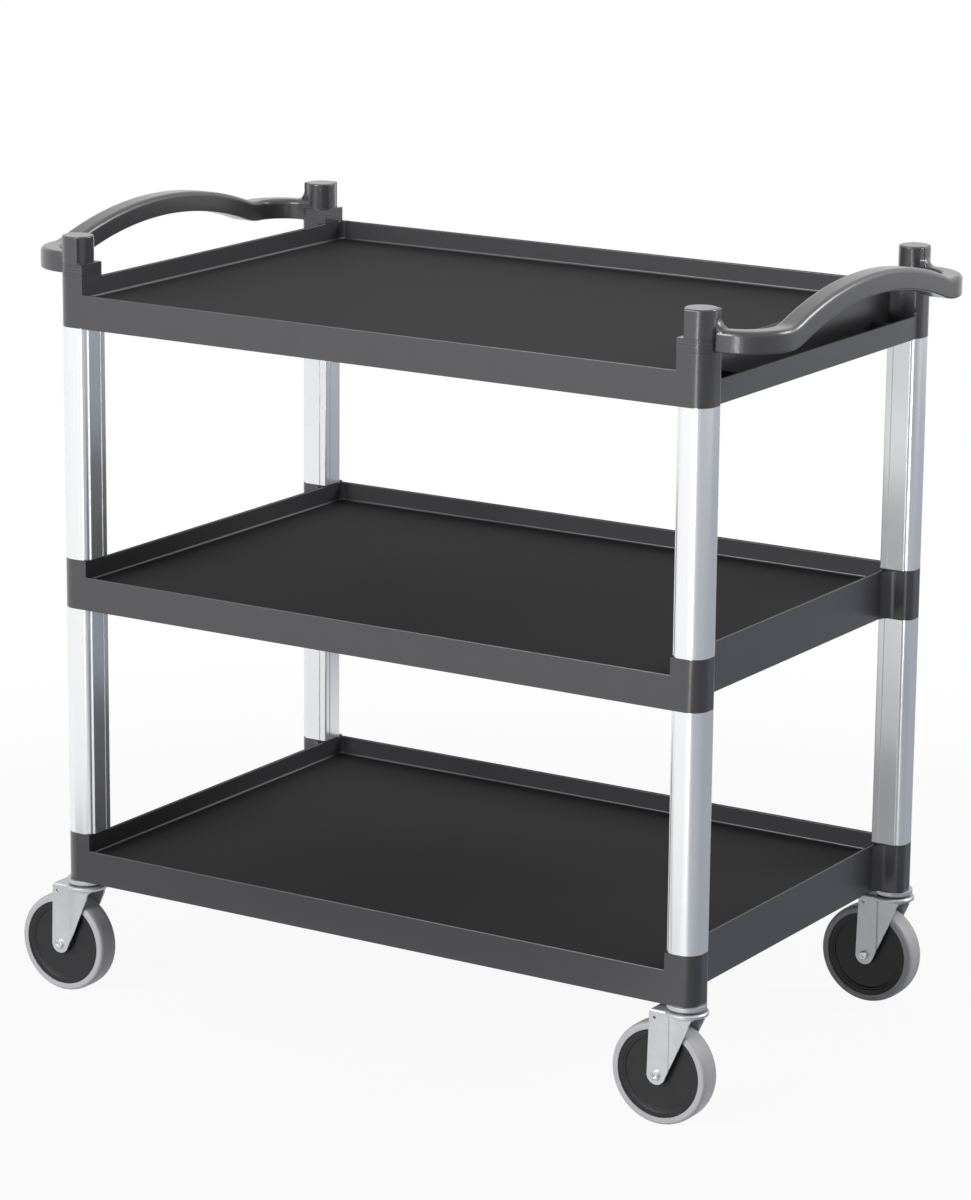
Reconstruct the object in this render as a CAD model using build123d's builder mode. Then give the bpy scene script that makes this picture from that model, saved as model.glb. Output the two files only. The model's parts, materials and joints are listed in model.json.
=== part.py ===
from build123d import *
import os
from math import atan, cos, degrees, radians, sin

os.makedirs("parts", exist_ok=True)

# Frame, over the outer faces of the four posts
frame_length = 900.0
frame_width = 560.0
shelf_height = 150.0  # floor to the underside of the bottom shelf
shelf_pitch = 349.0  # from one shelf to the next

# Posts, a hollow aluminium extrusion
post_size = 39.5
post_wall = 3.0
outer_radius = 20.0  # corner of posts and collars that faces away from the cart
shoulder_radius = 10.0  # corners on either side of it
edge_radius = 2.0  # corner that faces the load
bore_edge_radius = 3.0
pad_inset = 8.5  # raised inner faces, from the outer faces of the post
pad_depth = 2.5
groove_width = 2.0
groove_depth = 1.0
groove_place = 9.5  # from the corner that faces the load

# Shelves, moulded trays with a collar at each corner
collar_height = 62.0
front_wall_height = 41.5
wall = 3.5
rim_drop = 1.5  # wall tops below the collar tops
floor_height = 36.0  # top of the tray floor above the underside of the shelf
floor_thickness = 4.0
tray_corner_radius = 8.0
floor_fillet = 3.0
rim_fillet = 1.4
web_radius = 16.0  # hollow corner between an end wall and a collar
rib_thickness = 3.0
rib_depth = 16.0
cross_rib_pitch = 130.0
long_rib_pitch = 135.0
plug_length = 40.0  # plugs that reach into the posts
plug_clearance = 0.2
plug_chamfer = 2.0

# Troughs at the ends of the top shelf
skirt_height = 28.0
skirt_setback = 4.5  # behind the outer faces of the collars
skirt_radius = 5.0  # where its top edge turns up into the collars
trough_floor = 4.0
trough_web_place = 185.0  # cross web, from the middle of the shelf

# Handles, one moulding at each end
handle_reach = 66.0  # grip beyond the outer faces of the posts
grip_width = 28.0
grip_height = 25.5
grip_rise = 34.0  # arch of the grip
arch_end_radius = 85.0
grip_corner_radius = 58.0
grip_inner_radius = 36.0
grip_fillet = 6.0
grip_foot_fillet = 2.0  # lower edges of the grip and its arms
arm_inset = 18.0  # arm behind the outer faces of the posts
arm_width = 20.0
flare_radius = 13.0  # hollow corner between a cap and its arm
flare_turn = 84.0  # degrees of that corner
flare_steps = 5
flare_sink = 0.5
flare_taper = 5.0
band_height = 15.5
cap_height = 33.0
cap_setback = 7.5
cap_edge = 2.5  # corners of a cap beside its outer corner
cap_radius = 11.0  # its corner inside the round column
cap_inset = 0.75  # round column of a cap, inside the faces of its tower
cap_hollow = 2.0  # corner between the column and the rest of the cap
cap_fillet = 2.0
boss_diameter = 18.0  # boss on the shelf that centres the handle
boss_height = 10.0
boss_clearance = 0.15
end_clearance = 0.5  # beyond the ends of bosses, bolts and stems

# Bolts that hold the handles down
bolt_diameter = 6.0
bolt_head_diameter = 11.0
bolt_head_height = 4.0
bolt_reach = 30.0  # into the handle
bolt_clearance = 0.05
bolt_hole_clearance = 0.3

# Swivel casters
swivel_height = 25.0  # from the top of the wheel to the shelf
tread_width = 31.0
tyre_thickness = 8.0
tyre_crown = 3.5  # rise of the tread from its edges to its middle
trail = 28.0  # axle behind the swivel axis
hub_width = 33.0
hub_diameter = 24.0
web_thickness = 22.0
rim_width = 27.0
rim_depth = 8.0
rim_slope = 1.5
tyre_clearance = 0.03
fork_gap = 34.0  # between the legs
fork_plate = 3.0
fork_bend = 3.0
crown_diameter = 52.0
crown_edge = 1.5
crown_rim = 4.5
crown_depth = 16.0  # crown with the hollow sweep under it
crown_tail = 38.0  # channel behind the swivel axis
tail_radius = 4.0
dish_play = 0.5  # dish inside the crown beyond the legs
leg_front = 13.0  # legs ahead of the swivel axis, below the sweep
leg_radius = 12.0
leg_hole_diameter = 4.0
leg_hole_inset = 7.0
race_diameter = 47.0
race_thickness = 6.0
race_edge = 1.5
bearing_diameter = 40.0
bearing_thickness = 2.0
swivel_play = 0.2  # above and below the crown
stem_diameter = 12.0
stem_length = 48.0  # inside the shelf
stem_clearance = 0.05
king_nut_width = 19.0
king_nut_height = 7.0
stem_end = 2.0  # below the king nut
stem_chamfer = 1.0
sleeve_diameter = 13.0
axle_diameter = 8.0
running_clearance = 0.06
axle_head_width = 10.5
axle_head_height = 4.5
axle_head_edge = 1.0
axle_socket_width = 5.0
axle_socket_depth = 2.5

# Places worked out from the sizes above
post_x = (frame_length - post_size) / 2
post_y = (frame_width - post_size) / 2
post_length = shelf_pitch - collar_height
bore_size = post_size - 2 * post_wall
bore_radii = (outer_radius - post_wall, shoulder_radius - post_wall, bore_edge_radius)
plug_size = bore_size - 2 * plug_clearance
pad_size = post_size + pad_depth - pad_inset
pad_shift = (pad_inset + pad_depth) / 2
shelf_bottoms = [shelf_height + level * shelf_pitch for level in range(3)]
handle_base = shelf_bottoms[2] + collar_height
inner_length = frame_length - 2 * post_size
tray_length = inner_length + 2 * wall
tray_width = frame_width - 2 * wall
wheel_diameter = shelf_height - swivel_height
wheel_radius = wheel_diameter / 2
axle_height = wheel_radius
core_radius = wheel_radius - tyre_thickness
race_bottom = shelf_height - race_thickness
crown_top = race_bottom - bearing_thickness - swivel_play
crown_under = crown_top - fork_plate
stem_bottom = crown_under - swivel_play - king_nut_height - stem_end
corners = {
    "front_left": (-1, -1),
    "front_right": (1, -1),
    "back_left": (-1, 1),
    "back_right": (1, 1),
}


def save(piece, name):
    piece.part.label = name
    export_step(piece.part, f"parts/{name}.step")


def corner_square(profile, end, side, size, outer, shoulder, inner, inset=0.0):
    # Square in a corner of the frame, rounded most where it faces away from the cart
    place = inset + size / 2
    with Locations((end * (frame_length / 2 - place), side * (frame_width / 2 - place))):
        Rectangle(size, size)
    outwards = Axis((0, 0, 0), (end, side, 0))
    fillet(profile.vertices().sort_by(outwards)[:1], inner)
    fillet(profile.vertices().sort_by(outwards)[-3:-1], shoulder)
    fillet(profile.vertices().sort_by(outwards)[-1:], outer)


def collar_square(profile, end, side):
    # Outline of a collar, square where the walls of the tray join it
    with Locations((end * post_x, side * post_y)):
        Rectangle(post_size, post_size)
    fillet(profile.vertices().sort_by(Axis((0, 0, 0), (end, -side, 0)))[-1:], shoulder_radius)
    fillet(profile.vertices().sort_by(Axis((0, 0, 0), (end, side, 0)))[-1:], outer_radius)


def make_post(end, side, bottom):
    # Rounded outer square with a raised square on the faces that look inwards
    half = post_size / 2
    raised = half + pad_depth
    groove = raised - groove_place
    with BuildPart() as post:
        with BuildSketch(Plane.XY.offset(bottom)) as profile:
            corner_square(profile, end, side, post_size, outer_radius, shoulder_radius, edge_radius)
            with Locations((end * (post_x - pad_shift), side * (post_y - pad_shift))):
                RectangleRounded(pad_size, pad_size, edge_radius)
            with Locations((end * (post_x - raised), side * (post_y - groove))):
                Rectangle(2 * groove_depth, groove_width, mode=Mode.SUBTRACT)
            with Locations((end * (post_x - groove), side * (post_y - raised))):
                Rectangle(groove_width, 2 * groove_depth, mode=Mode.SUBTRACT)
        extrude(amount=post_length)
        with BuildSketch(Plane.XY.offset(bottom)) as bore:
            corner_square(bore, end, side, bore_size, *bore_radii, inset=post_wall)
        extrude(amount=post_length, mode=Mode.SUBTRACT)
    return post


def edges_at(piece, level):
    return piece.edges().filter_by_position(Axis.Z, level - 0.01, level + 0.01)


def make_shelf(bottom, plug_directions, is_top=False, is_lowest=False):
    underside = floor_height - floor_thickness
    wall_top = collar_height - rim_drop
    with BuildPart() as shelf:
        # Tray with a low front wall, hollow and ribbed underneath
        with BuildSketch(Plane.XY.offset(bottom)):
            Rectangle(tray_length, frame_width)
        extrude(amount=wall_top)
        with BuildSketch(Plane.XY.offset(bottom + front_wall_height)):
            with Locations((0, -frame_width / 2)):
                Rectangle(tray_length, 2 * wall)
        extrude(amount=collar_height, mode=Mode.SUBTRACT)
        with BuildSketch(Plane.XY.offset(bottom + floor_height)) as inside:
            Rectangle(inner_length, tray_width)
            fillet(inside.vertices().sort_by(Axis.Y)[-2:], tray_corner_radius)
        extrude(amount=collar_height, mode=Mode.SUBTRACT)
        with BuildSketch(Plane.XY.offset(bottom)):
            RectangleRounded(inner_length, tray_width, tray_corner_radius)
        extrude(amount=underside, mode=Mode.SUBTRACT)

        # Foot and rim of the walls
        fillet(edges_at(shelf, bottom + floor_height), floor_fillet)
        lip = edges_at(shelf, bottom + front_wall_height).filter_by(Axis.X)
        fillet(lip.filter_by(lambda edge: edge.length > inner_length / 2), rim_fillet)
        front_end = wall - frame_width / 2 + rim_fillet
        rim = edges_at(shelf, bottom + wall_top).filter_by(lambda edge: edge.center().Y > front_end)
        fillet(rim, rim_fillet)

        with BuildSketch(Plane.XY.offset(bottom + underside - rib_depth)):
            with GridLocations(cross_rib_pitch, 0, int(inner_length // cross_rib_pitch), 1):
                Rectangle(rib_thickness, tray_width + wall)
            with GridLocations(0, long_rib_pitch, 1, int(tray_width // long_rib_pitch) - 1):
                Rectangle(inner_length + wall, rib_thickness)
        extrude(amount=rib_depth)

        # Collars in line with the posts, with a hollow corner beside each end wall
        for end, side in corners.values():
            with BuildSketch(Plane.XY.offset(bottom)) as collar:
                collar_square(collar, end, side)
            extrude(amount=collar_height)
            hollow_x = end * (tray_length / 2 + web_radius)
            hollow_y = side * (frame_width / 2 - post_size - web_radius)
            with BuildSketch(Plane.XY.offset(bottom)):
                with Locations((hollow_x - end * web_radius / 2, hollow_y + side * web_radius / 2)):
                    Rectangle(web_radius, web_radius)
                with Locations((hollow_x, hollow_y)):
                    Circle(web_radius, mode=Mode.SUBTRACT)
            extrude(amount=wall_top - rim_fillet)

        # Open trough at each end, with a low skirt between the collars
        if is_top:
            skirt_x = frame_length / 2 - skirt_setback
            depth = skirt_x - tray_length / 2
            middle = (tray_length + depth) / 2
            length = frame_width - 2 * post_size
            rise = skirt_radius + wall
            with BuildSketch(Plane.XY.offset(bottom)):
                with GridLocations(2 * middle, 0, 2, 1):
                    Rectangle(depth, length + 2 * wall)
            extrude(amount=trough_floor)
            for end in (-1, 1):
                with BuildSketch(Plane.YZ.offset(end * skirt_x)) as skirt:
                    with Locations((0, bottom + (skirt_height + rise) / 2)):
                        Rectangle(length + 2 * wall, skirt_height + rise)
                    with Locations((0, bottom + skirt_height + rise)):
                        Rectangle(length, 2 * rise, mode=Mode.SUBTRACT)
                    fillet(skirt.vertices().group_by(Axis.Y)[1], skirt_radius)
                extrude(amount=-end * wall)
            with BuildSketch(Plane.XY.offset(bottom)):
                with GridLocations(2 * middle, 2 * trough_web_place, 2, 2):
                    Rectangle(depth, rib_thickness)
            extrude(amount=skirt_height - rim_drop)

        # Plugs that fill the ends of the posts
        plug_inset = post_wall + plug_clearance
        for direction in plug_directions:
            level = bottom + collar_height if direction > 0 else bottom
            for end, side in corners.values():
                with BuildSketch(Plane.XY.offset(level)) as plug:
                    corner_square(plug, end, side, plug_size, *bore_radii, inset=plug_inset)
                extrude(amount=direction * plug_length)
            chamfer(edges_at(shelf, level + direction * plug_length), plug_chamfer)

        # Bosses and bolt holes for the handles, or sockets for the caster stems
        if is_top:
            with BuildSketch(Plane.XY.offset(handle_base)):
                with GridLocations(2 * post_x, 2 * post_y, 2, 2):
                    Circle(boss_diameter / 2)
            extrude(amount=boss_height)
            with BuildSketch(Plane.XY.offset(bottom - plug_length)):
                with GridLocations(2 * post_x, 2 * post_y, 2, 2):
                    Circle(bolt_diameter / 2 + bolt_hole_clearance)
            extrude(amount=plug_length + collar_height + boss_height, mode=Mode.SUBTRACT)
        if is_lowest:
            with BuildSketch(Plane.XY.offset(bottom)):
                with GridLocations(2 * post_x, 2 * post_y, 2, 2):
                    Circle(stem_diameter / 2 + stem_clearance)
            extrude(amount=stem_length + end_clearance, mode=Mode.SUBTRACT)
    return shelf


def make_handle():
    # The handle at the right end: an arched grip, two arms and the caps on the towers
    reach = frame_length / 2 + handle_reach
    arm_y = frame_width / 2 - arm_inset
    arch_half = arm_y - grip_corner_radius
    turn = 2 * atan(grip_rise / arch_half)
    crown_radius = arch_half / sin(turn) - arch_end_radius
    swing = degrees(turn)

    def arch(height):
        level = handle_base + height
        lead = Line((-arm_y, level), (-arch_half, level))
        rise = JernArc(lead @ 1, lead % 1, arch_end_radius - height, swing)
        over = JernArc(rise @ 1, rise % 1, crown_radius + height, -2 * swing)
        fall = JernArc(over @ 1, over % 1, arch_end_radius - height, swing)
        return lead, Line(fall @ 1, (arm_y, level))

    with BuildPart() as handle:
        # Plan of the grip and its arms, cut to the arch that shows from the end
        with BuildSketch(Plane.XY.offset(handle_base)) as plan:
            with Locations(((post_x + reach) / 2, 0)):
                Rectangle(reach - post_x, 2 * arm_y)
            fillet(plan.vertices().sort_by(Axis.X)[-2:], grip_corner_radius)
        extrude(amount=grip_rise + grip_height)
        inner = reach - grip_width
        with BuildSketch(Plane.XY.offset(handle_base)) as hand_gap:
            with Locations((inner / 2, 0)):
                Rectangle(inner, 2 * (arm_y - arm_width))
            fillet(hand_gap.vertices().sort_by(Axis.X)[-2:], grip_inner_radius)
        extrude(amount=grip_rise + grip_height, mode=Mode.SUBTRACT)
        with BuildSketch(Plane.YZ):
            with BuildLine():
                low_start, low_end = arch(0)
                top_start, top_end = arch(grip_height)
                Line(low_start @ 0, top_start @ 0)
                Line(low_end @ 1, top_end @ 1)
            make_face()
        extrude(amount=reach, mode=Mode.INTERSECT)
        for direction, radius in ((1, grip_fillet), (-1, grip_foot_fillet)):
            facing = handle.faces().filter_by(lambda face: face.normal_at().Z * direction > 0.5)
            upright = handle.faces().filter_by(lambda face: abs(face.normal_at().Z) < 0.01)
            rims = facing.edges().filter_by(lambda edge: edge.center().X > post_x + 0.01)
            sides = upright.edges()
            fillet(rims.filter_by(lambda edge: any(edge.is_same(other) for other in sides)), radius)

        # Caps that continue the towers
        for side in (-1, 1):
            with BuildSketch(Plane.XY.offset(handle_base)) as band:
                collar_square(band, 1, side)
            extrude(amount=band_height)
            with BuildSketch(Plane.XY.offset(handle_base + band_height)) as cap:
                corner_square(cap, 1, side, post_size - cap_setback, outer_radius, cap_edge, cap_radius)
                column = post_size / 2 - cap_inset
                with Locations((post_x, side * post_y)):
                    Circle(column)
                middle = Vector(post_x, side * post_y)
                joins = cap.vertices().filter_by(
                    lambda spot: abs((Vector(spot.X, spot.Y) - middle).length - column) < 0.01)
                fillet(joins, cap_hollow)
            extrude(amount=cap_height)
        fillet(edges_at(handle, handle_base + band_height + cap_height), cap_fillet)

        # Flares from the caps down to the arms, sunk a little into both
        cap_side = frame_length / 2
        for side in (-1, 1):
            for step in range(flare_steps + 1):
                bend = radians(flare_turn) * step / flare_steps
                low = handle_base + flare_sink
                top = handle_base + grip_height - flare_sink + flare_radius * (1 - cos(bend))
                width = arm_width - 2 * flare_sink - flare_taper * step / flare_steps
                with BuildSketch(Plane.YZ.offset(cap_side + flare_radius * (1 - sin(bend)))):
                    with Locations((side * (arm_y - flare_sink - width / 2), (low + top) / 2)):
                        RectangleRounded(width, top - low, grip_fillet - flare_sink)
            loft()
            with BuildSketch(Plane.YZ.offset(cap_side + flare_radius * (1 - sin(bend)))):
                with Locations((side * (arm_y - flare_sink - width / 2), (low + top) / 2)):
                    RectangleRounded(width, top - low, grip_fillet - flare_sink)
            extrude(amount=post_x - cap_side)

        # Sockets for the bosses and bolts
        with BuildSketch(Plane.XY.offset(handle_base)):
            with GridLocations(0, 2 * post_y, 1, 2):
                with Locations((post_x, 0)):
                    Circle(boss_diameter / 2 + boss_clearance)
        extrude(amount=boss_height + end_clearance, mode=Mode.SUBTRACT)
        with BuildSketch(Plane.XY.offset(handle_base)):
            with GridLocations(0, 2 * post_y, 1, 2):
                with Locations((post_x, 0)):
                    Circle(bolt_diameter / 2 + bolt_clearance)
        extrude(amount=bolt_reach + end_clearance, mode=Mode.SUBTRACT)
    return handle


def make_handle_bolts():
    # One bolt through each tower, with its head inside the post
    head_top = shelf_bottoms[2] - plug_length
    with BuildPart() as bolts:
        with BuildSketch(Plane.XY.offset(head_top)):
            with GridLocations(2 * post_x, 2 * post_y, 2, 2):
                Circle(bolt_head_diameter / 2)
        extrude(amount=-bolt_head_height)
        with BuildSketch(Plane.XY.offset(head_top)):
            with GridLocations(2 * post_x, 2 * post_y, 2, 2):
                Circle(bolt_diameter / 2)
        extrude(amount=plug_length + collar_height + bolt_reach)
        chamfer(edges_at(bolts, head_top - bolt_head_height), bolt_head_height / 3)
    return bolts


def make_stem(x, y):
    # Stem with the fixed upper race of the swivel
    with BuildPart() as stem:
        with BuildSketch(Plane.XY.offset(stem_bottom)):
            with Locations((x, y)):
                Circle(stem_diameter / 2)
        extrude(amount=shelf_height + stem_length - stem_bottom)
        chamfer(stem.edges().filter_by(GeomType.CIRCLE), stem_chamfer)
        with BuildSketch(Plane.XY.offset(race_bottom)):
            with Locations((x, y)):
                Circle(race_diameter / 2)
        extrude(amount=race_thickness)
        chamfer(edges_at(stem, race_bottom).sort_by(SortBy.LENGTH)[-1], race_edge)
    return stem


def make_bearing(x, y):
    with BuildPart() as bearing:
        with BuildSketch(Plane.XY.offset(race_bottom)):
            with Locations((x, y)):
                Circle(bearing_diameter / 2)
                Circle(stem_diameter / 2 + stem_clearance, mode=Mode.SUBTRACT)
        extrude(amount=-bearing_thickness)
    return bearing


def make_king_nut(x, y):
    with BuildPart() as nut:
        with BuildSketch(Plane.XY.offset(crown_under - swivel_play)):
            with Locations((x, y)):
                RegularPolygon(king_nut_width / 2, 6, major_radius=False)
                Circle(stem_diameter / 2 + stem_clearance, mode=Mode.SUBTRACT)
        extrude(amount=-king_nut_height)
    return nut


def make_fork(x, y):
    # Pressed yoke: a round crown that runs back into a channel with two tapered legs
    axle_x = x - trail
    half_width = fork_gap / 2 + fork_plate
    crown_radius = crown_diameter / 2
    rim_bottom = crown_top - crown_rim
    sweep = crown_depth - crown_rim
    tail = x - crown_tail
    front = x + leg_front
    with BuildPart() as fork:
        with BuildSketch(Plane.XZ.offset(-y)) as flank:
            with Locations((axle_x, axle_height)):
                Circle(leg_radius)
            with Locations(((tail + front) / 2, crown_top - crown_depth / 2)):
                Rectangle(front - tail, crown_depth)
            make_hull()
            with Locations((front + sweep / 2, rim_bottom - sweep / 2)):
                Rectangle(sweep, sweep)
            with Locations((front + sweep, rim_bottom - sweep)):
                Circle(sweep, mode=Mode.SUBTRACT)
            fillet(flank.vertices().sort_by(Axis.Y)[-2:].sort_by(Axis.X)[:1], tail_radius)
        extrude(amount=half_width, both=True)
        with BuildSketch(Plane.YZ.offset(x - 2 * crown_diameter)) as channel:
            with Locations((y, crown_top / 2)):
                Rectangle(2 * half_width, crown_top)
            fillet(channel.vertices().sort_by(Axis.Y)[-2:], fork_bend)
        extrude(amount=4 * crown_diameter, mode=Mode.INTERSECT)

        # Round crown with a broken edge
        with BuildSketch(Plane.XZ.offset(-y)):
            with BuildLine():
                Polyline(
                    (x, crown_top),
                    (x + crown_radius - crown_edge, crown_top),
                    (x + crown_radius, crown_top - crown_edge),
                    (x + crown_radius, rim_bottom),
                    (x, rim_bottom),
                    close=True,
                )
            make_face()
        revolve(axis=Axis((x, y, 0), (0, 0, 1)))

        # Room for the wheel between the legs and for the king nut inside the crown
        with BuildSketch(Plane.XY):
            with Locations((x, y)):
                Rectangle(4 * crown_diameter, fork_gap)
        extrude(amount=rim_bottom, mode=Mode.SUBTRACT)
        with BuildSketch(Plane.XY):
            with Locations((x, y)):
                Circle(fork_gap / 2 + dish_play)
                Rectangle(crown_diameter, fork_gap, mode=Mode.INTERSECT)
            with Locations((x - crown_diameter, y)):
                Rectangle(2 * crown_diameter, fork_gap)
        extrude(amount=crown_under, mode=Mode.SUBTRACT)
        with BuildSketch(Plane.XY.offset(crown_under)):
            with Locations((x, y)):
                Circle(stem_diameter / 2 + running_clearance)
        extrude(amount=fork_plate, mode=Mode.SUBTRACT)
        with BuildSketch(Plane.XZ.offset(-y)):
            with Locations((axle_x, axle_height)):
                Circle(axle_diameter / 2 + stem_clearance)
            with Locations((tail + leg_hole_inset, crown_under - leg_hole_inset)):
                Circle(leg_hole_diameter / 2)
        extrude(amount=half_width, both=True, mode=Mode.SUBTRACT)
    return fork


def make_wheel_core(x, y):
    bore = sleeve_diameter / 2 + running_clearance
    rim_inner = core_radius - rim_depth
    flank = [
        (hub_width / 2, bore),
        (hub_width / 2, hub_diameter / 2),
        (web_thickness / 2, hub_diameter / 2 + rim_slope),
        (web_thickness / 2, rim_inner - rim_slope),
        (rim_width / 2, rim_inner),
        (rim_width / 2, core_radius),
    ]
    right = [(y + across, axle_height + radius) for across, radius in flank]
    left = [(y - across, axle_height + radius) for across, radius in reversed(flank)]
    with BuildPart() as core:
        with BuildSketch(Plane.YZ.offset(x)):
            with BuildLine():
                Polyline(*right, *left, close=True)
            make_face()
        revolve(axis=Axis((x, y, axle_height), (0, 1, 0)))
    return core


def make_tyre(x, y):
    left = y - tread_width / 2
    right = y + tread_width / 2
    inner = axle_height + core_radius + tyre_clearance
    top = axle_height + wheel_radius
    edge = top - tyre_crown
    with BuildPart() as tyre:
        with BuildSketch(Plane.YZ.offset(x)):
            with BuildLine():
                ThreePointArc((left, edge), (y, top), (right, edge))
                Polyline((right, edge), (right, inner), (left, inner), (left, edge))
            make_face()
        revolve(axis=Axis((x, y, axle_height), (0, 1, 0)))
    return tyre


def make_axle_sleeve(x, y):
    with BuildPart() as sleeve:
        with BuildSketch(Plane.XZ.offset(-y)):
            with Locations((x, axle_height)):
                Circle(sleeve_diameter / 2)
                Circle(axle_diameter / 2 + stem_clearance, mode=Mode.SUBTRACT)
        extrude(amount=fork_gap / 2, both=True)
    return sleeve


def make_axle_bolt(x, y):
    # Round head with a hexagon socket on the side that faces the front
    face = fork_gap / 2 + fork_plate
    with BuildPart() as bolt:
        with BuildSketch(Plane.XZ.offset(face - y)):
            with Locations((x, axle_height)):
                Circle(axle_diameter / 2)
        extrude(amount=-(2 * face + axle_head_height))
        with BuildSketch(Plane.XZ.offset(face - y)):
            with Locations((x, axle_height)):
                Circle(axle_head_width / 2)
        extrude(amount=axle_head_height)
        chamfer(bolt.edges().sort_by(Axis.Y)[0], axle_head_edge)
        with BuildSketch(Plane.XZ.offset(face + axle_head_height - y)):
            with Locations((x, axle_height)):
                RegularPolygon(axle_socket_width / 2, 6, major_radius=False)
        extrude(amount=-axle_socket_depth, mode=Mode.SUBTRACT)
    return bolt


def make_axle_nut(x, y):
    face = fork_gap / 2 + fork_plate
    with BuildPart() as nut:
        with BuildSketch(Plane.XZ.offset(-face - y)):
            with Locations((x, axle_height)):
                RegularPolygon(axle_head_width / 2, 6, major_radius=False)
                Circle(axle_diameter / 2 + stem_clearance, mode=Mode.SUBTRACT)
        extrude(amount=-axle_head_height)
    return nut


save(make_shelf(shelf_bottoms[0], (1,), is_lowest=True), "bottom_shelf")
save(make_shelf(shelf_bottoms[1], (-1, 1)), "middle_shelf")
save(make_shelf(shelf_bottoms[2], (-1,), is_top=True), "top_shelf")

for corner, (end, side) in corners.items():
    save(make_post(end, side, shelf_bottoms[0] + collar_height), f"lower_post_{corner}")
    save(make_post(end, side, shelf_bottoms[1] + collar_height), f"upper_post_{corner}")

right_handle = make_handle()
with BuildPart() as left_handle:
    mirror(right_handle.part, about=Plane.YZ)
save(right_handle, "right_handle")
save(left_handle, "left_handle")
save(make_handle_bolts(), "handle_bolts")

for corner, (end, side) in corners.items():
    swivel = (end * post_x, side * post_y)
    axle = (end * post_x - trail, side * post_y)
    save(make_stem(*swivel), f"caster_stem_{corner}")
    save(make_bearing(*swivel), f"swivel_bearing_{corner}")
    save(make_king_nut(*swivel), f"king_nut_{corner}")
    save(make_fork(*swivel), f"fork_{corner}")
    save(make_wheel_core(*axle), f"wheel_core_{corner}")
    save(make_tyre(*axle), f"tyre_{corner}")
    save(make_axle_sleeve(*axle), f"axle_sleeve_{corner}")
    save(make_axle_bolt(*axle), f"axle_bolt_{corner}")
    save(make_axle_nut(*axle), f"axle_nut_{corner}")
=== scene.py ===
import json
import math

import bmesh
import bpy
from mathutils import Matrix, Vector


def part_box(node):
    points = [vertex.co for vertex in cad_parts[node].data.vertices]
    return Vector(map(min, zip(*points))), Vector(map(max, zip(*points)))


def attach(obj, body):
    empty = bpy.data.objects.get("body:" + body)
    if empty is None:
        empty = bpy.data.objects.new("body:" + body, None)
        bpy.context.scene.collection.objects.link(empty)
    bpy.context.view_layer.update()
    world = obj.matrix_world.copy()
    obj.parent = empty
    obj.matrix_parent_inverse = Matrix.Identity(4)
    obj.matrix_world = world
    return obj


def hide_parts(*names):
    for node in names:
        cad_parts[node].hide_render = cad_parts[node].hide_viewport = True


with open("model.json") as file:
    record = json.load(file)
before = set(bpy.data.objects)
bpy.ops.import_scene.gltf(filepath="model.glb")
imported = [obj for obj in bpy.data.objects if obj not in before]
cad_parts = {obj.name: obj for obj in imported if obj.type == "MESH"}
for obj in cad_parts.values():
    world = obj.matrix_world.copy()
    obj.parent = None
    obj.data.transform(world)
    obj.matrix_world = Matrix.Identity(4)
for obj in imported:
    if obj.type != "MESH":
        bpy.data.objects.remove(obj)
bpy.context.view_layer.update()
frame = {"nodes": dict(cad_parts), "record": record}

nodes = frame["nodes"]
corners = ("front_left", "front_right", "back_left", "back_right")

finishMake = {
    "flatFrom": 0.75,  # upward part of the normal where a floor's painted shade and its rougher, unglossed finish start
    "flatFull": 0.97,
    "edgeSamples": 6,
    "fineDetail": 2,
    "noiseMiddle": 0.5,
}


class Signal:
    # an output socket whose operators add Math nodes to its own tree
    def __init__(self, finish, socket):
        self.finish = finish
        self.socket = socket

    def maths(self, operation, first, second):
        return self.finish.node("ShaderNodeMath", {"operation": operation}, {0: first, 1: second})

    def __add__(self, other):
        return self.maths("ADD", self, other)

    def __radd__(self, other):
        return self.maths("ADD", other, self)

    def __sub__(self, other):
        return self.maths("SUBTRACT", self, other)

    def __rsub__(self, other):
        return self.maths("SUBTRACT", other, self)

    def __mul__(self, other):
        return self.maths("MULTIPLY", self, other)

    def __rmul__(self, other):
        return self.maths("MULTIPLY", other, self)


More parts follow.
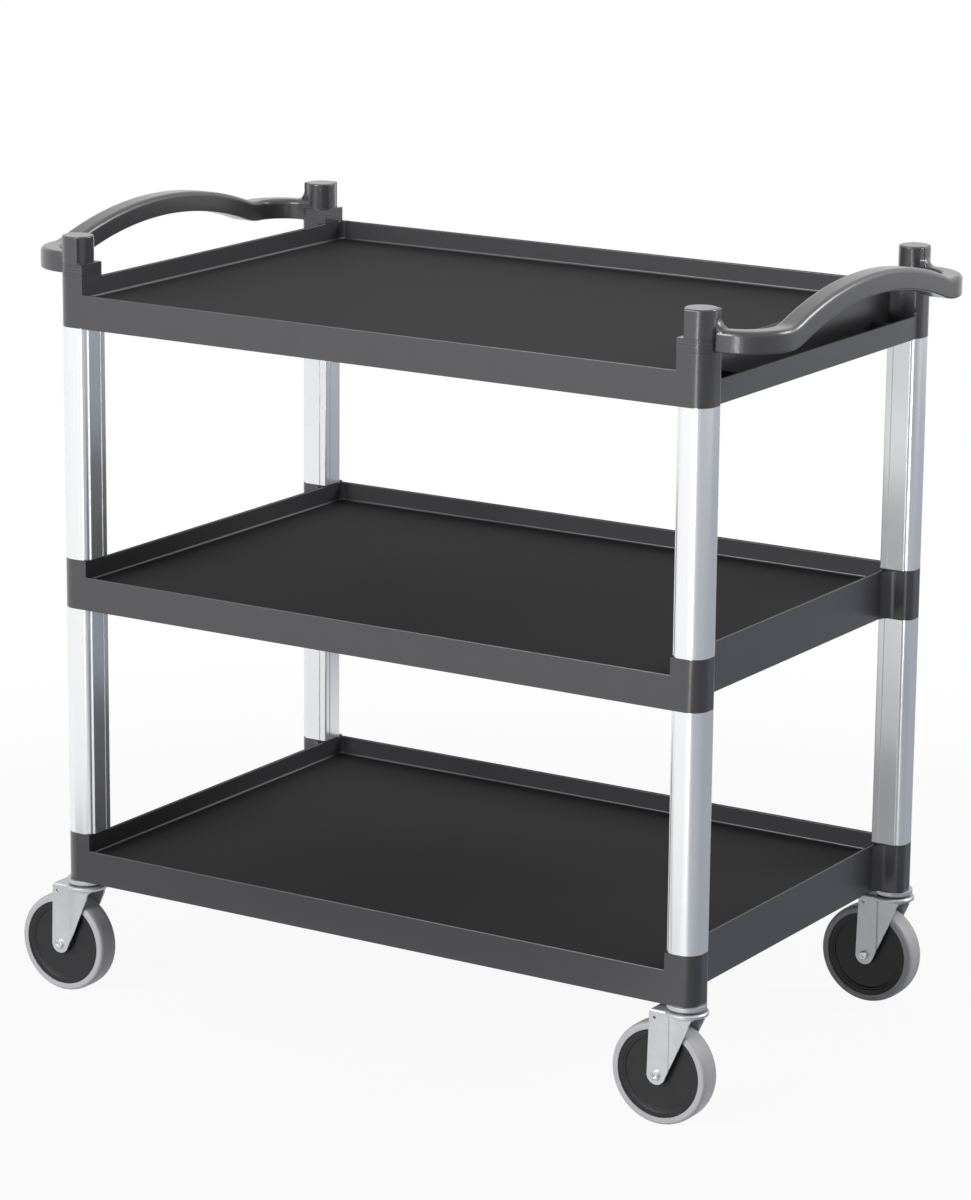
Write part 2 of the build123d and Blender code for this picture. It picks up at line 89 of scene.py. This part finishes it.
class Finish:
    # one material, or the world, and the nodes in it
    def __init__(self, owner):
        owner.use_nodes = True
        self.owner = owner
        self.tree = owner.node_tree
        self.tree.nodes.clear()

    def node(self, kind, settings, sockets, output=0):
        made = self.tree.nodes.new(kind)
        for name, value in settings.items():
            setattr(made, name, value)
        for name, value in sockets.items():
            if isinstance(value, Signal):
                self.tree.links.new(value.socket, made.inputs[name])
            else:
                made.inputs[name].default_value = value
        return Signal(self, made.outputs[output]) if made.outputs else None

    def place(self):
        return self.node("ShaderNodeTexCoord", {}, {}, "Object")

    def noise(self, size, detail=finishMake["fineDetail"], stretch=(1, 1, 1)):
        # size is the width of one blotch, in metres
        spread = [1 / (size * s) for s in stretch]
        where = self.node("ShaderNodeMapping", {}, {"Vector": self.place(), "Scale": spread})
        sockets = {"Vector": where, "Scale": 1.0, "Detail": detail}
        return self.node("ShaderNodeTexNoise", {}, sockets, "Fac")

    def blend(self, amount, first, second):
        # from one colour to the other
        start, end = (c if isinstance(c, Signal) else (*c, 1) for c in (first, second))
        sockets = {0: amount, 6: start, 7: end}
        return self.node("ShaderNodeMix", {"data_type": "RGBA"}, sockets, 2)

    def ramp(self, value, low, high):
        # 0 up to low, 1 from high on
        return self.node("ShaderNodeMapRange", {"interpolation_type": "SMOOTHSTEP"},
                         {"Value": value, "From Min": low, "From Max": high})

    def level(self):
        # 1 where the surface lies flat and faces up
        normal = self.node("ShaderNodeNewGeometry", {}, {}, "Normal")
        upwards = self.node("ShaderNodeSeparateXYZ", {}, {"Vector": normal}, "Z")
        return self.ramp(upwards, finishMake["flatFrom"], finishMake["flatFull"])

    def bump(self, height, depth, edge=0.0):
        # edge is the radius that its sharp edges seem to have, in metres
        sockets = {"Height": height, "Distance": depth, "Strength": 1.0}
        if edge:
            samples = {"samples": finishMake["edgeSamples"]}
            sockets["Normal"] = self.node("ShaderNodeBevel", samples, {"Radius": edge})
        return self.node("ShaderNodeBump", {}, sockets)

    def surface(self, sockets):
        shader = self.node("ShaderNodeBsdfPrincipled", {}, sockets)
        self.node("ShaderNodeOutputMaterial", {}, {"Surface": shader})
        return self.owner


def shade(name):
    return Finish(bpy.data.materials.new(name))


def swing(middle, width, noise):
    # goes up and down about its middle with a noise
    return middle + width * (noise - finishMake["noiseMiddle"])


shelfMoulding = {
    "dark": (0.040, 0.0385, 0.043),
    "light": (0.047, 0.0455, 0.050),
    "floor": (0.011, 0.0107, 0.0117),  # painted shade: the shelf floors darker than the walls, for the shade that falls on them
    "cloud": 0.04,
    "cloudDetail": 3,
    "grain": 0.0011,
    "grainDepth": 0.00004,
    "edge": 0.0012,
    "roughness": 0.45,
    "floorRoughness": 0.3,  # more on the floors
    "roughnessSwing": 0.06,
    "gloss": 1.0,  # skin of the walls, none on the floors
    "glossRoughness": 0.26,
    "specular": 0.2,
}


def makeShelfPlastic():
    s = shelfMoulding
    finish = shade("shelfMoulding")
    cloud = finish.noise(s["cloud"], s["cloudDetail"])
    grain = finish.noise(s["grain"])
    # floors that face up get painted shade in their colour, more roughness and no coat
    shadedFloor = finish.level()
    wall = finish.blend(cloud, s["dark"], s["light"])
    roughness = s["roughness"] + s["floorRoughness"] * shadedFloor
    return finish.surface({
        "Base Color": finish.blend(shadedFloor, wall, s["floor"]),
        "Roughness": swing(roughness, s["roughnessSwing"], grain),
        "Normal": finish.bump(grain, s["grainDepth"], s["edge"]),
        "Coat Weight": s["gloss"] * (1 - shadedFloor),
        "Coat Roughness": s["glossRoughness"],
        "Specular IOR Level": s["specular"],
    })


handleMoulding = {
    "dark": (0.040, 0.0385, 0.043),
    "light": (0.048, 0.0465, 0.052),
    "cloud": 0.05,
    "cloudDetail": 3,
    "grain": 0.0016,
    "grainDepth": 0.00002,
    "roughness": 0.32,
    "roughnessSwing": 0.08,
    "gloss": 0.6,
    "glossRoughness": 0.22,
}


def makeHandlePlastic():
    s = handleMoulding
    finish = shade("handleMoulding")
    cloud = finish.noise(s["cloud"], s["cloudDetail"])
    grain = finish.noise(s["grain"])
    return finish.surface({
        "Base Color": finish.blend(cloud, s["dark"], s["light"]),
        "Roughness": swing(s["roughness"], s["roughnessSwing"], cloud),
        "Normal": finish.bump(grain, s["grainDepth"]),
        "Coat Weight": s["gloss"],
        "Coat Roughness": s["glossRoughness"],
    })


postExtrusion = {
    "dark": (0.83, 0.84, 0.86),
    "light": (0.88, 0.89, 0.91),
    "line": 0.0005,
    "lineLength": 900,  # times its width
    "lineDepth": 0.000004,
    "metallic": 0.68,
    "roughness": 0.24,
    "roughnessSwing": 0.05,
}


def makePostAluminium():
    s = postExtrusion
    finish = shade("postExtrusion")
    lines = finish.noise(s["line"], stretch=(1, 1, s["lineLength"]))
    return finish.surface({
        "Base Color": finish.blend(lines, s["dark"], s["light"]),
        "Metallic": s["metallic"],
        "Roughness": swing(s["roughness"], s["roughnessSwing"], lines),
        "Normal": finish.bump(lines, s["lineDepth"]),
    })


zincPlate = {
    "dark": (0.50, 0.51, 0.53),
    "light": (0.62, 0.63, 0.645),
    "cloud": 0.012,
    "cloudDetail": 4,
    "speckle": 0.0008,
    "speckleDepth": 0.00002,
    "edge": 0.0008,
    "metallic": 0.5,
    "roughness": 0.36,
    "roughnessSwing": 0.14,
}


def makeZincSteel():
    s = zincPlate
    finish = shade("zincPlate")
    cloud = finish.noise(s["cloud"], s["cloudDetail"])
    speckle = finish.noise(s["speckle"])
    return finish.surface({
        "Base Color": finish.blend(cloud, s["dark"], s["light"]),
        "Metallic": s["metallic"],
        "Roughness": swing(s["roughness"], s["roughnessSwing"], speckle),
        "Normal": finish.bump(speckle, s["speckleDepth"], s["edge"]),
    })


fastenerZinc = {
    "dark": (0.52, 0.53, 0.54),
    "light": (0.70, 0.70, 0.71),
    "cloud": 0.004,
    "cloudDetail": 3,
    "metallic": 1.0,
    "roughness": 0.28,
    "roughnessSwing": 0.1,
}


def makeFastenerSteel():
    s = fastenerZinc
    finish = shade("fastenerZinc")
    cloud = finish.noise(s["cloud"], s["cloudDetail"])
    return finish.surface({
        "Base Color": finish.blend(cloud, s["dark"], s["light"]),
        "Metallic": s["metallic"],
        "Roughness": swing(s["roughness"], s["roughnessSwing"], cloud),
    })


greasedBearing = {
    "dark": (0.03, 0.03, 0.03),
    "light": (0.08, 0.08, 0.085),
    "cloud": 0.006,
    "cloudDetail": 3,
    "metallic": 0.6,
    "roughness": 0.35,
    "roughnessSwing": 0.2,
}


def makeBearingSteel():
    s = greasedBearing
    finish = shade("greasedBearing")
    cloud = finish.noise(s["cloud"], s["cloudDetail"])
    return finish.surface({
        "Base Color": finish.blend(cloud, s["dark"], s["light"]),
        "Metallic": s["metallic"],
        "Roughness": swing(s["roughness"], s["roughnessSwing"], cloud),
    })


wheelMoulding = {
    "dark": (0.014, 0.014, 0.0155),
    "light": (0.022, 0.022, 0.024),
    "cloud": 0.02,
    "cloudDetail": 3,
    "grain": 0.0011,
    "grainDepth": 0.00005,
    "roughness": 0.4,
    "roughnessSwing": 0.12,
    "specular": 0.3,
}


def makeWheelPlastic():
    s = wheelMoulding
    finish = shade("wheelMoulding")
    cloud = finish.noise(s["cloud"], s["cloudDetail"])
    grain = finish.noise(s["grain"])
    return finish.surface({
        "Base Color": finish.blend(cloud, s["dark"], s["light"]),
        "Roughness": swing(s["roughness"], s["roughnessSwing"], grain),
        "Normal": finish.bump(grain, s["grainDepth"]),
        "Specular IOR Level": s["specular"],
    })


greyTyre = {
    "dark": (0.46, 0.46, 0.48),
    "light": (0.52, 0.52, 0.54),
    "cloud": 0.015,
    "cloudDetail": 4,
    "grain": 0.0009,
    "grainDepth": 0.00006,
    "roughness": 0.5,
    "roughnessSwing": 0.15,
}


def makeTyreRubber():
    s = greyTyre
    finish = shade("greyTyre")
    cloud = finish.noise(s["cloud"], s["cloudDetail"])
    grain = finish.noise(s["grain"])
    return finish.surface({
        "Base Color": finish.blend(cloud, s["dark"], s["light"]),
        "Roughness": swing(s["roughness"], s["roughnessSwing"], cloud),
        "Normal": finish.bump(grain, s["grainDepth"]),
    })


finishes = {
    "shelf_plastic": makeShelfPlastic(),
    "handle_plastic": makeHandlePlastic(),
    "post_aluminium": makePostAluminium(),
    "zinc_steel": makeZincSteel(),
    "bearing_steel": makeBearingSteel(),
    "fastener_steel": makeFastenerSteel(),
    "wheel_plastic": makeWheelPlastic(),
    "tyre_rubber": makeTyreRubber(),
}
slotOf = {part["node"]: part["material_slot"] for part in frame["record"]["subparts"]}
for name, node in nodes.items():
    node.data.materials.clear()
    node.data.materials.append(finishes[slotOf[name]])
print("finishes made:", len(finishes))

softEdges = {
    "mergeDistance": 0.00001,
    "sharpAngle": math.radians(32),
}


def smoothShading(shape):
    for face in shape.faces:
        face.smooth = True
    for edge in shape.edges:
        edge.smooth = edge.is_manifold and edge.calc_face_angle(0.0) < softEdges["sharpAngle"]


def bodyOf(node):
    bodies = frame["record"]["behaviour"]["bodies"]
    return next(body for body, members in bodies.items() if node in members)


def addPiece(name, shape, node):
    # stands for the node, on its body and in its finish
    smoothShading(shape)
    mesh = bpy.data.meshes.new(name)
    shape.to_mesh(mesh)
    shape.free()
    mesh.materials.append(finishes[slotOf[node]])
    piece = bpy.data.objects.new(name, mesh)
    bpy.context.scene.collection.objects.link(piece)
    weighted = piece.modifiers.new("flatFaces", "WEIGHTED_NORMAL")
    weighted.keep_sharp = True
    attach(piece, bodyOf(node))
    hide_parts(node)


def mergedCopy(node):
    # the node's own solid, merged, so that its rounded faces shade as one surface
    shape = bmesh.new()
    shape.from_mesh(nodes[node].data)
    bmesh.ops.remove_doubles(shape, verts=shape.verts, dist=softEdges["mergeDistance"])
    return shape


def smoothCopy(node):
    addPiece(node + "_finished", mergedCopy(node), node)


wheelMake = {
    "steps": 96,  # round the axle
    "roundSegments": 4,
    "shoulderDrop": 0.0016,  # edge of the tread below its middle
    "treadFlat": 0.62,  # share of the tread that is nearly flat
    "shoulderRound": 0.0028,
    "lipReach": 0.0011,  # of the tyre, inwards over the rim
    "lipRound": 0.0006,
    "lipGap": 0.0001,
    "hub": 0.012,
    "hubBore": 0.0066,
    "webDepth": 0.0055,  # faces of the web, below the faces of the hub
    "stepDepth": 0.0040,
    "rimDepth": 0.0030,
    "webReach": 0.0440,
    "stepReach": 0.0468,
    "slope": 0.0010,
    "edgeRound": 0.0004,
}


def spinRing(outline, centre):
    # closed outline of (across, radius, rounding), turned about an axle along Y
    s = wheelMake
    shape = bmesh.new()
    points = []
    for across, radius, rounding in outline:
        place = centre + Vector((0, across, radius))
        points.append((shape.verts.new(place), rounding))
    shape.faces.new([point for point, rounding in points])
    for size in sorted({rounding for point, rounding in points if rounding}):
        chosen = [point for point, rounding in points if rounding == size]
        bmesh.ops.bevel(shape, geom=chosen, offset=size, offset_type="OFFSET",
                        segments=s["roundSegments"], profile=0.5, affect="VERTICES", material=-1)
    bmesh.ops.delete(shape, geom=shape.faces[:], context="FACES_ONLY")
    bmesh.ops.spin(shape, geom=shape.verts[:] + shape.edges[:], cent=centre, axis=(0, 1, 0),
                   angle=2 * math.pi, steps=s["steps"], use_merge=True)
    bmesh.ops.recalc_face_normals(shape, faces=shape.faces[:])
    return shape


def mirrored(half):
    # the outline of one flank, gone round to the other
    return half + [(-across, radius, rounding) for across, radius, rounding in reversed(half)]


def makeTyre(corner):
    s = wheelMake
    node = "tyre_" + corner
    low, high = (Vector(c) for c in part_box(node))
    coreLow, coreHigh = (Vector(c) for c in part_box("wheel_core_" + corner))
    half = (high.y - low.y) / 2
    top = (high.z - low.z) / 2
    inner = (coreHigh.z - coreLow.z) / 2
    seat = (coreHigh.y - coreLow.y) / 2 - s["rimDepth"] + s["lipGap"]
    outline = mirrored([
        (seat, inner, 0),
        (seat, inner - s["lipReach"], 0),
        (half, inner - s["lipReach"], s["lipRound"]),
        (half, top - s["shoulderDrop"], s["shoulderRound"]),
        (half * s["treadFlat"], top, s["shoulderRound"]),
    ])
    shape = spinRing(outline, (low + high) / 2)
    addPiece(node + "_turned", shape, node)


def makeWheelCore(corner):
    s = wheelMake
    node = "wheel_core_" + corner
    low, high = (Vector(c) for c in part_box(node))
    half = (high.y - low.y) / 2
    top = (high.z - low.z) / 2
    web, step, rim = (half - s[depth] for depth in ("webDepth", "stepDepth", "rimDepth"))
    outline = mirrored([
        (half, s["hubBore"], 0),
        (half, s["hub"], s["edgeRound"]),
        (web, s["hub"] + s["slope"], s["edgeRound"]),
        (web, s["webReach"], s["edgeRound"]),
        (step, s["webReach"] + s["slope"], s["edgeRound"]),
        (step, s["stepReach"], s["edgeRound"]),
        (rim, s["stepReach"] + s["slope"], s["edgeRound"]),
        (rim, top, 0),
    ])
    shape = spinRing(outline, (low + high) / 2)
    addPiece(node + "_turned", shape, node)


forkPress = {
    "legReach": 0.020,  # outer faces of the legs, from the middle of the wheel
    "crease": 0.0155,  # ahead of the axle
    "hollow": (  # reach ahead of the crease and depth
        (0, 0), (0.0008, 0.0009), (0.003, 0.0016), (0.007, 0.0019),
        (0.013, 0.0015), (0.020, 0.0007), (0.027, 0),
    ),
    "crownRadius": 0.026,
    "within": 0.00002,  # play in finding the points of a face
}


def trimTips(shape, corner):
    # ends the thin front tips of the legs at the round crown
    low, high = (Vector(c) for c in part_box("caster_stem_" + corner))
    pivot = (low + high) / 2
    radius = forkPress["crownRadius"]

    def outside(vert):
        reach = math.hypot(vert.co.x - pivot.x, vert.co.y - pivot.y)
        return vert.co.x > pivot.x and reach > radius + forkPress["within"]

    tips = [vert for vert in shape.verts if outside(vert)]
    foot = max(vert.co.z for vert in tips)
    for vert in tips:
        front = pivot.x + math.sqrt(radius ** 2 - (vert.co.y - pivot.y) ** 2)
        bmesh.ops.translate(shape, verts=[vert], vec=(front - vert.co.x, 0, foot - vert.co.z))
    bmesh.ops.remove_doubles(shape, verts=shape.verts, dist=softEdges["mergeDistance"])
    bmesh.ops.dissolve_degenerate(shape, edges=shape.edges, dist=softEdges["mergeDistance"])


def hollowDepth(reach):
    for (near, shallow), (far, deep) in zip(forkPress["hollow"], forkPress["hollow"][1:]):
        if near < reach <= far:
            return shallow + (deep - shallow) * (reach - near) / (far - near)
    return 0


def makeFork(corner):
    # the solid's copy, with trimmed tips and a hollow pressed into the front of each leg
    s = forkPress
    node = "fork_" + corner
    low, high = (Vector(c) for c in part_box("tyre_" + corner))
    axle = (low + high) / 2
    crease = axle.x + s["crease"]
    shape = mergedCopy(node)
    trimTips(shape, corner)

    def onLeg(vert):
        return abs(abs(vert.co.y - axle.y) - s["legReach"]) < s["within"]

    for step in s["hollow"]:
        legs = [face for face in shape.faces if all(onLeg(vert) for vert in face.verts)]
        edges = dict.fromkeys(edge for face in legs for edge in face.edges)
        verts = dict.fromkeys(vert for face in legs for vert in face.verts)
        bmesh.ops.bisect_plane(shape, geom=[*legs, *edges, *verts], dist=softEdges["mergeDistance"],
                               plane_co=(crease + step[0], 0, 0), plane_no=(1, 0, 0))
    for vert in shape.verts:
        if onLeg(vert):
            inwards = math.copysign(hollowDepth(vert.co.x - crease), axle.y - vert.co.y)
            bmesh.ops.translate(shape, verts=[vert], vec=(0, inwards, 0))
    addPiece(node + "_pressed", shape, node)


handleLines = {
    "levels": (0.0004, 0.0027, 0.0050, 0.0086, 0.0122, 0.0151),  # above the foot of the handle
    "height": 0.0006,
    "depth": 0.0006,
    "inset": 0.00012,
    "capReach": 0.4503,  # arms are further out
    "capInner": 0.2402,
    "steep": 0.3,  # most upward part of the normal on a side face
}


def makeHandle(node):
    # the solid's copy, with fine lines round the foot of each cap
    s = handleLines
    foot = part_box(node)[0][2]
    half = s["height"] / 2
    shape = mergedCopy(node)
    for level in s["levels"]:
        for cut in (foot + level - half, foot + level + half):
            everything = shape.verts[:] + shape.edges[:] + shape.faces[:]
            bmesh.ops.bisect_plane(shape, geom=everything, dist=softEdges["mergeDistance"],
                                   plane_co=(0, 0, cut), plane_no=(0, 0, 1))
        ring = []
        for face in shape.faces:
            middle = face.calc_center_median()
            onCap = abs(middle.x) < s["capReach"] and abs(middle.y) > s["capInner"]
            inLine = abs(middle.z - foot - level) < half
            if onCap and inLine and abs(face.normal.z) < s["steep"]:
                ring.append(face)
        bmesh.ops.inset_region(shape, faces=ring, thickness=s["inset"], depth=-s["depth"],
                               use_even_offset=True, use_boundary=True)
    addPiece(node + "_lined", shape, node)


for corner in corners:
    makeTyre(corner)
    makeWheelCore(corner)
    makeFork(corner)
print("wheels turned and forks pressed")
for name in ("left_handle", "right_handle"):
    makeHandle(name)
print("handles lined")
for name in sorted(nodes):
    alreadyMade = name.startswith(("tyre", "wheel_core", "fork")) or name.endswith("handle")
    if not alreadyMade:
        smoothCopy(name)
print("finished copies made")

camera = {
    "focal": 4400.0,  # pixels of the photograph
    "frameWidth": 971,
    "frameHeight": 1200,
    "sensor": 36.0,  # millimetres
    "clip": (0.1, 100),
    "azimuth": math.radians(32.013),
    "elevation": math.radians(13.934),
    "roll": math.radians(0.541),
    "aim": Vector((0, 0, 0.436)),
    "across": 0.007716,
    "upwards": -0.073944,
    "distance": 5.414,
}


def makeCamera():
    s = camera
    azimuth, elevation, roll = s["azimuth"], s["elevation"], s["roll"]
    flat = math.cos(elevation)
    back = Vector((math.sin(azimuth) * flat, -math.cos(azimuth) * flat, math.sin(elevation)))
    sideways = Vector((math.cos(azimuth), math.sin(azimuth), 0))
    upright = back.cross(sideways)
    right = sideways * math.cos(roll) + upright * math.sin(roll)
    up = upright * math.cos(roll) - sideways * math.sin(roll)
    data = bpy.data.cameras.new("camera")
    data.sensor_width = s["sensor"]
    data.lens = s["focal"] * s["sensor"] / max(s["frameWidth"], s["frameHeight"])
    data.clip_start, data.clip_end = s["clip"]
    made = bpy.data.objects.new("camera", data)
    bpy.context.scene.collection.objects.link(made)
    turn = Matrix((right, up, back)).transposed().to_4x4()
    spot = s["aim"] + back * s["distance"] - right * s["across"] - up * s["upwards"]
    made.matrix_world = Matrix.Translation(spot) @ turn
    bpy.context.scene.camera = made


makeCamera()

studio = {
    "floorSize": 60.0,
    "floorColour": (0.6, 0.6, 0.6),
    "floorGlow": 0.93,  # share of plain white near the cart, all of it further off
    "shadowReach": (0.75, 1.9),  # from the middle of the cart
    "ambient": 0.13,
    "cards": [
        # place, tilt and turn, width, height, colour
        ((0.62, -1.95, 0.47), (90, 0), 0.2, 0.9, (13.0, 13.0, 13.0)),  # glowing strip seen only in reflections, no lamp: a painted highlight on the rounded corners
        ((3.37, -2.7, 0.003), (0, 11.5), 4.5, 5.5, (0.36, 0.38, 0.44)),  # painted shade: grey floor, front right, seen only in reflections
        ((2.05, 2.18, 0.003), (0, 11.5), 4.0, 4.6, (0.29, 0.32, 0.38)),  # painted shade: grey floor, back right, seen only in reflections
        ((-0.38, -0.74, 0.003), (0, 0), 1.0, 0.26, (0.02, 0.02, 0.02)),  # painted shadow: dark floor before the low shelf, seen only in reflections
    ],
    "lamps": [
        # place, aim, width, height, power
        ((-1.4, -5.1, 2.5), (0, 0, 0.7), 3.0, 2.2, 262),  # front
        ((3.3, 2.4, 2.8), (0.2, 0, 0.8), 2.0, 1.8, 105),  # behind, on the right
        ((0.2, 0.8, 4.6), (0, 0, 0.5), 2.4, 2.4, 12),  # above
    ],
}


def facing(place, aim):
    turn = (Vector(aim) - Vector(place)).to_track_quat("-Z", "Y")
    return Matrix.Translation(place) @ turn.to_matrix().to_4x4()


def makeLamp(number, place, aim, width, height, power):
    data = bpy.data.lights.new(f"softbox{number}", "AREA")
    data.shape = "RECTANGLE"
    data.size = width
    data.size_y = height
    data.energy = power
    lamp = bpy.data.objects.new(f"softbox{number}", data)
    bpy.context.scene.collection.objects.link(lamp)
    lamp.matrix_world = facing(place, aim)


def makeSheet(name, width, height, material, place):
    # flat sheet that is no part of the cart, from a square of one metre
    shape = bmesh.new()
    size = Matrix.Diagonal((width, height, 1, 1))
    bmesh.ops.create_grid(shape, x_segments=1, y_segments=1, size=0.5, matrix=place @ size)
    mesh = bpy.data.meshes.new(name)
    shape.to_mesh(mesh)
    shape.free()
    mesh.materials.append(material)
    sheet = bpy.data.objects.new(name, mesh)
    bpy.context.scene.collection.objects.link(sheet)
    return sheet


def makeCard(number, place, angles, width, height, colour):
    # plain card that shows only in the metal and the glossy plastic, as a painted highlight or painted
    # shade in their reflections
    finish = shade(f"card{number}")
    shader = finish.node("ShaderNodeEmission", {}, {"Color": (*colour, 1), "Strength": 1.0})
    finish.node("ShaderNodeOutputMaterial", {}, {"Surface": shader})
    tilt, turn = (math.radians(angle) for angle in angles)
    stand = Matrix.Translation(place) @ Matrix.Rotation(turn, 4, "Z") @ Matrix.Rotation(tilt, 4, "X")
    card = makeSheet(f"card{number}", width, height, finish.owner, stand)
    card.visible_camera = False
    card.visible_diffuse = False
    card.visible_transmission = False
    card.visible_shadow = False


def seenDirectly(finish):
    # 1 for what the camera, a mirror or glass sees, 0 for light that falls on things
    rays = [finish.node("ShaderNodeLightPath", {}, {}, kind)
            for kind in ("Is Camera Ray", "Is Glossy Ray", "Is Transmission Ray")]
    return rays[0].maths("MAXIMUM", rays[0].maths("MAXIMUM", rays[0], rays[1]), rays[2])


def makeFloorPaper():
    s = studio
    paper = shade("floorPaper")
    length = {"operation": "LENGTH"}
    away = paper.node("ShaderNodeVectorMath", length, {0: paper.place()}, "Value")
    glow = s["floorGlow"] + (1 - s["floorGlow"]) * paper.ramp(away, *s["shadowReach"])
    matt = paper.node("ShaderNodeBsdfDiffuse", {}, {"Color": (*s["floorColour"], 1)})
    white = paper.node("ShaderNodeEmission", {}, {"Color": (1, 1, 1, 1), "Strength": 1.0})
    share = seenDirectly(paper) * glow
    shader = paper.node("ShaderNodeMixShader", {}, {0: share, 1: matt, 2: white})
    paper.node("ShaderNodeOutputMaterial", {}, {"Surface": shader})
    return paper.owner


def makeStudio():
    s = studio
    makeSheet("floor", s["floorSize"], s["floorSize"], makeFloorPaper(), Matrix.Identity(4))
    for number, lamp in enumerate(s["lamps"]):
        makeLamp(number, *lamp)
    for number, card in enumerate(s["cards"]):
        makeCard(number, *card)
    world = bpy.data.worlds.new("backdrop")
    bpy.context.scene.world = world
    sky = Finish(world)
    strength = s["ambient"] + (1 - s["ambient"]) * seenDirectly(sky)
    light = sky.node("ShaderNodeBackground", {}, {"Color": (1, 1, 1, 1), "Strength": strength})
    sky.node("ShaderNodeOutputWorld", {}, {"Surface": light})
    bpy.context.scene.view_settings.view_transform = "Standard"


makeStudio()
print("camera and studio made")
